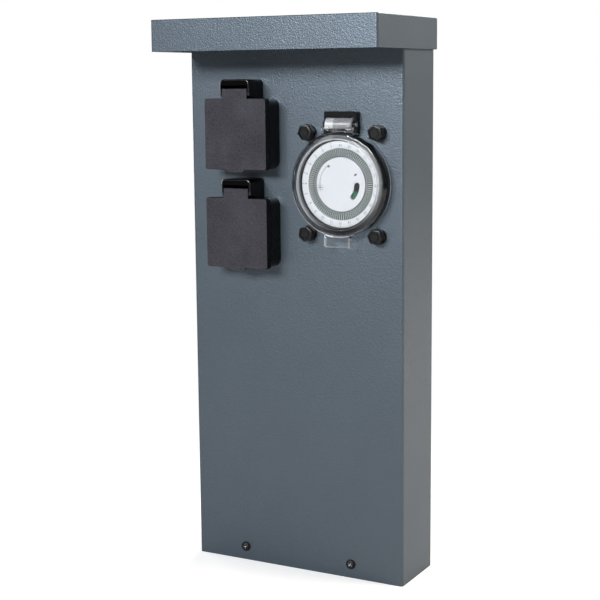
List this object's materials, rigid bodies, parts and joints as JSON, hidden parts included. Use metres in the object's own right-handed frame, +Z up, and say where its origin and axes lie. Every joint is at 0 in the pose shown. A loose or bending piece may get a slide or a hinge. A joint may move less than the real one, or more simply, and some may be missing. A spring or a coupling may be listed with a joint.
{
  "type": "garden socket",
  "caption": "Folded sheet column with an overhanging rain hood, two sprung-lid earthed sockets one above the other, and a day timer under a hinged clear cover.",
  "frame": {"origin": "middle of the column's footprint (170 by 52 mm) on the ground, on the face the base plate stands on", "axes": "+X to the right seen from the front, +Y to the back (the sockets and the timer face -Y), +Z up along the column"},
  "size_m": [0.175, 0.1012, 0.4],
  "materials": {
    "housing_paint": "fine textured blue-grey powder coat",
    "hood_paint": "fine textured blue-grey powder coat",
    "zinc_sheet": "zinc plated sheet",
    "zinc_steel": "zinc plated",
    "black_screws": "black zinc",
    "black_rubber": "matt rubber",
    "grey_plastic": "matt nylon",
    "white_plastic": "matt nylon",
    "socket_plastic": "satin black",
    "lid_plastic": "fine grained dark grey",
    "insert_plastic": "matt black",
    "contact_brass": "plain",
    "spring_steel": "bright",
    "pin_steel": "bright",
    "timer_black": "fine grained black",
    "motor_can": "drawn can",
    "gear_plastic": "natural acetal",
    "dial_white": "satin white",
    "dial_green": "matt dark green",
    "tab_white": "satin white",
    "plate_white": "satin white",
    "slide_green": "satin green",
    "knob_black": "satin black",
    "bracket_black": "satin black",
    "clear_plastic": "clear polished",
    "bolt_black": "matt black"
  },
  "bodies": {
    "housing": {"column_shell": "housing_paint", "back_panel": "housing_paint", "hood": "hood_paint", "hood_studs": "zinc_steel", "hood_nuts": "zinc_steel", "top_bracket": "zinc_sheet", "base_plate": "zinc_sheet", "base_screws": "black_screws", "base_nuts": "zinc_steel", "back_screws": "black_screws", "back_nuts": "zinc_steel", "cable_grommet": "black_rubber", "cord_clamp": "grey_plastic", "cord_clamp_screws": "zinc_steel", "terminal_block": "white_plastic", "terminal_screws": "zinc_steel", "upper_socket_body": "socket_plastic", "upper_socket_gasket": "black_rubber", "upper_contact_insert": "insert_plastic", "upper_contact_sleeves": "contact_brass", "upper_earth_clip": "spring_steel", "upper_lid_pin": "pin_steel", "upper_lid_spring": "spring_steel", "lower_socket_body": "socket_plastic", "lower_socket_gasket": "black_rubber", "lower_contact_insert": "insert_plastic", "lower_contact_sleeves": "contact_brass", "lower_earth_clip": "spring_steel", "lower_lid_pin": "pin_steel", "lower_lid_spring": "spring_steel", "insert_screws": "zinc_steel", "socket_screws": "zinc_steel", "socket_nuts": "zinc_steel", "timer_case": "timer_black", "timer_bezel": "timer_black", "timer_gasket": "black_rubber", "timer_bridge": "zinc_sheet", "timer_motor": "motor_can", "timer_switch": "timer_black", "timer_terminals": "timer_black", "centre_plate": "plate_white", "hinge_bracket": "bracket_black", "cover_pin": "pin_steel", "timer_bolts": "bolt_black", "timer_washers": "bolt_black", "timer_nuts": "zinc_steel"},
    "upper_lid_body": {"upper_lid": "lid_plastic", "upper_lid_seal": "black_rubber"},
    "lower_lid_body": {"lower_lid": "lid_plastic", "lower_lid_seal": "black_rubber"},
    "cover_body": {"timer_cover": "clear_plastic"},
    "dial_body": {"dial": "dial_white", "dial_gear": "gear_plastic", "tab_carrier": "dial_green", "trip_tabs": "tab_white"},
    "pinion_body": {"drive_pinion": "gear_plastic"},
    "mode_body": {"mode_slide": "slide_green", "mode_knob": "knob_black"}
  },
  "joints": [
    {"name": "upper_lid_hinge", "type": "hinge", "parent": "housing", "child": "upper_lid_body", "pos_m": [-0.03638, -0.042, 0.3496], "axis": [-1, 0, 0], "range_deg": [0, 90], "stiffness_Nm_per_rad": 0.004, "springref_deg": -34.38},
    {"name": "lower_lid_hinge", "type": "hinge", "parent": "housing", "child": "lower_lid_body", "pos_m": [-0.03638, -0.042, 0.2796], "axis": [-1, 0, 0], "range_deg": [0, 90], "stiffness_Nm_per_rad": 0.004, "springref_deg": -34.38},
    {"name": "timer_cover_hinge", "type": "hinge", "parent": "housing", "child": "cover_body", "pos_m": [0.03964, -0.032, 0.3272], "axis": [-1, 0, 0], "range_deg": [0, 100]},
    {"name": "dial_spin", "type": "hinge", "parent": "housing", "child": "dial_body", "pos_m": [0.03964, -0.029, 0.286], "axis": [0, 1, 0], "continuous": true},
    {"name": "pinion_spin", "type": "hinge", "parent": "housing", "child": "pinion_body", "pos_m": [0.02479, -0.026, 0.27115], "axis": [0, 1, 0], "continuous": true},
    {"name": "mode_switch_turn", "type": "hinge", "parent": "housing", "child": "mode_body", "pos_m": [0.03964, -0.029, 0.286], "axis": [0, 1, 0], "range_deg": [0, 28]}
  ],
  "couplings": [
    {"joint": "pinion_spin", "follows": "dial_spin", "ratio": -4}
  ]
}
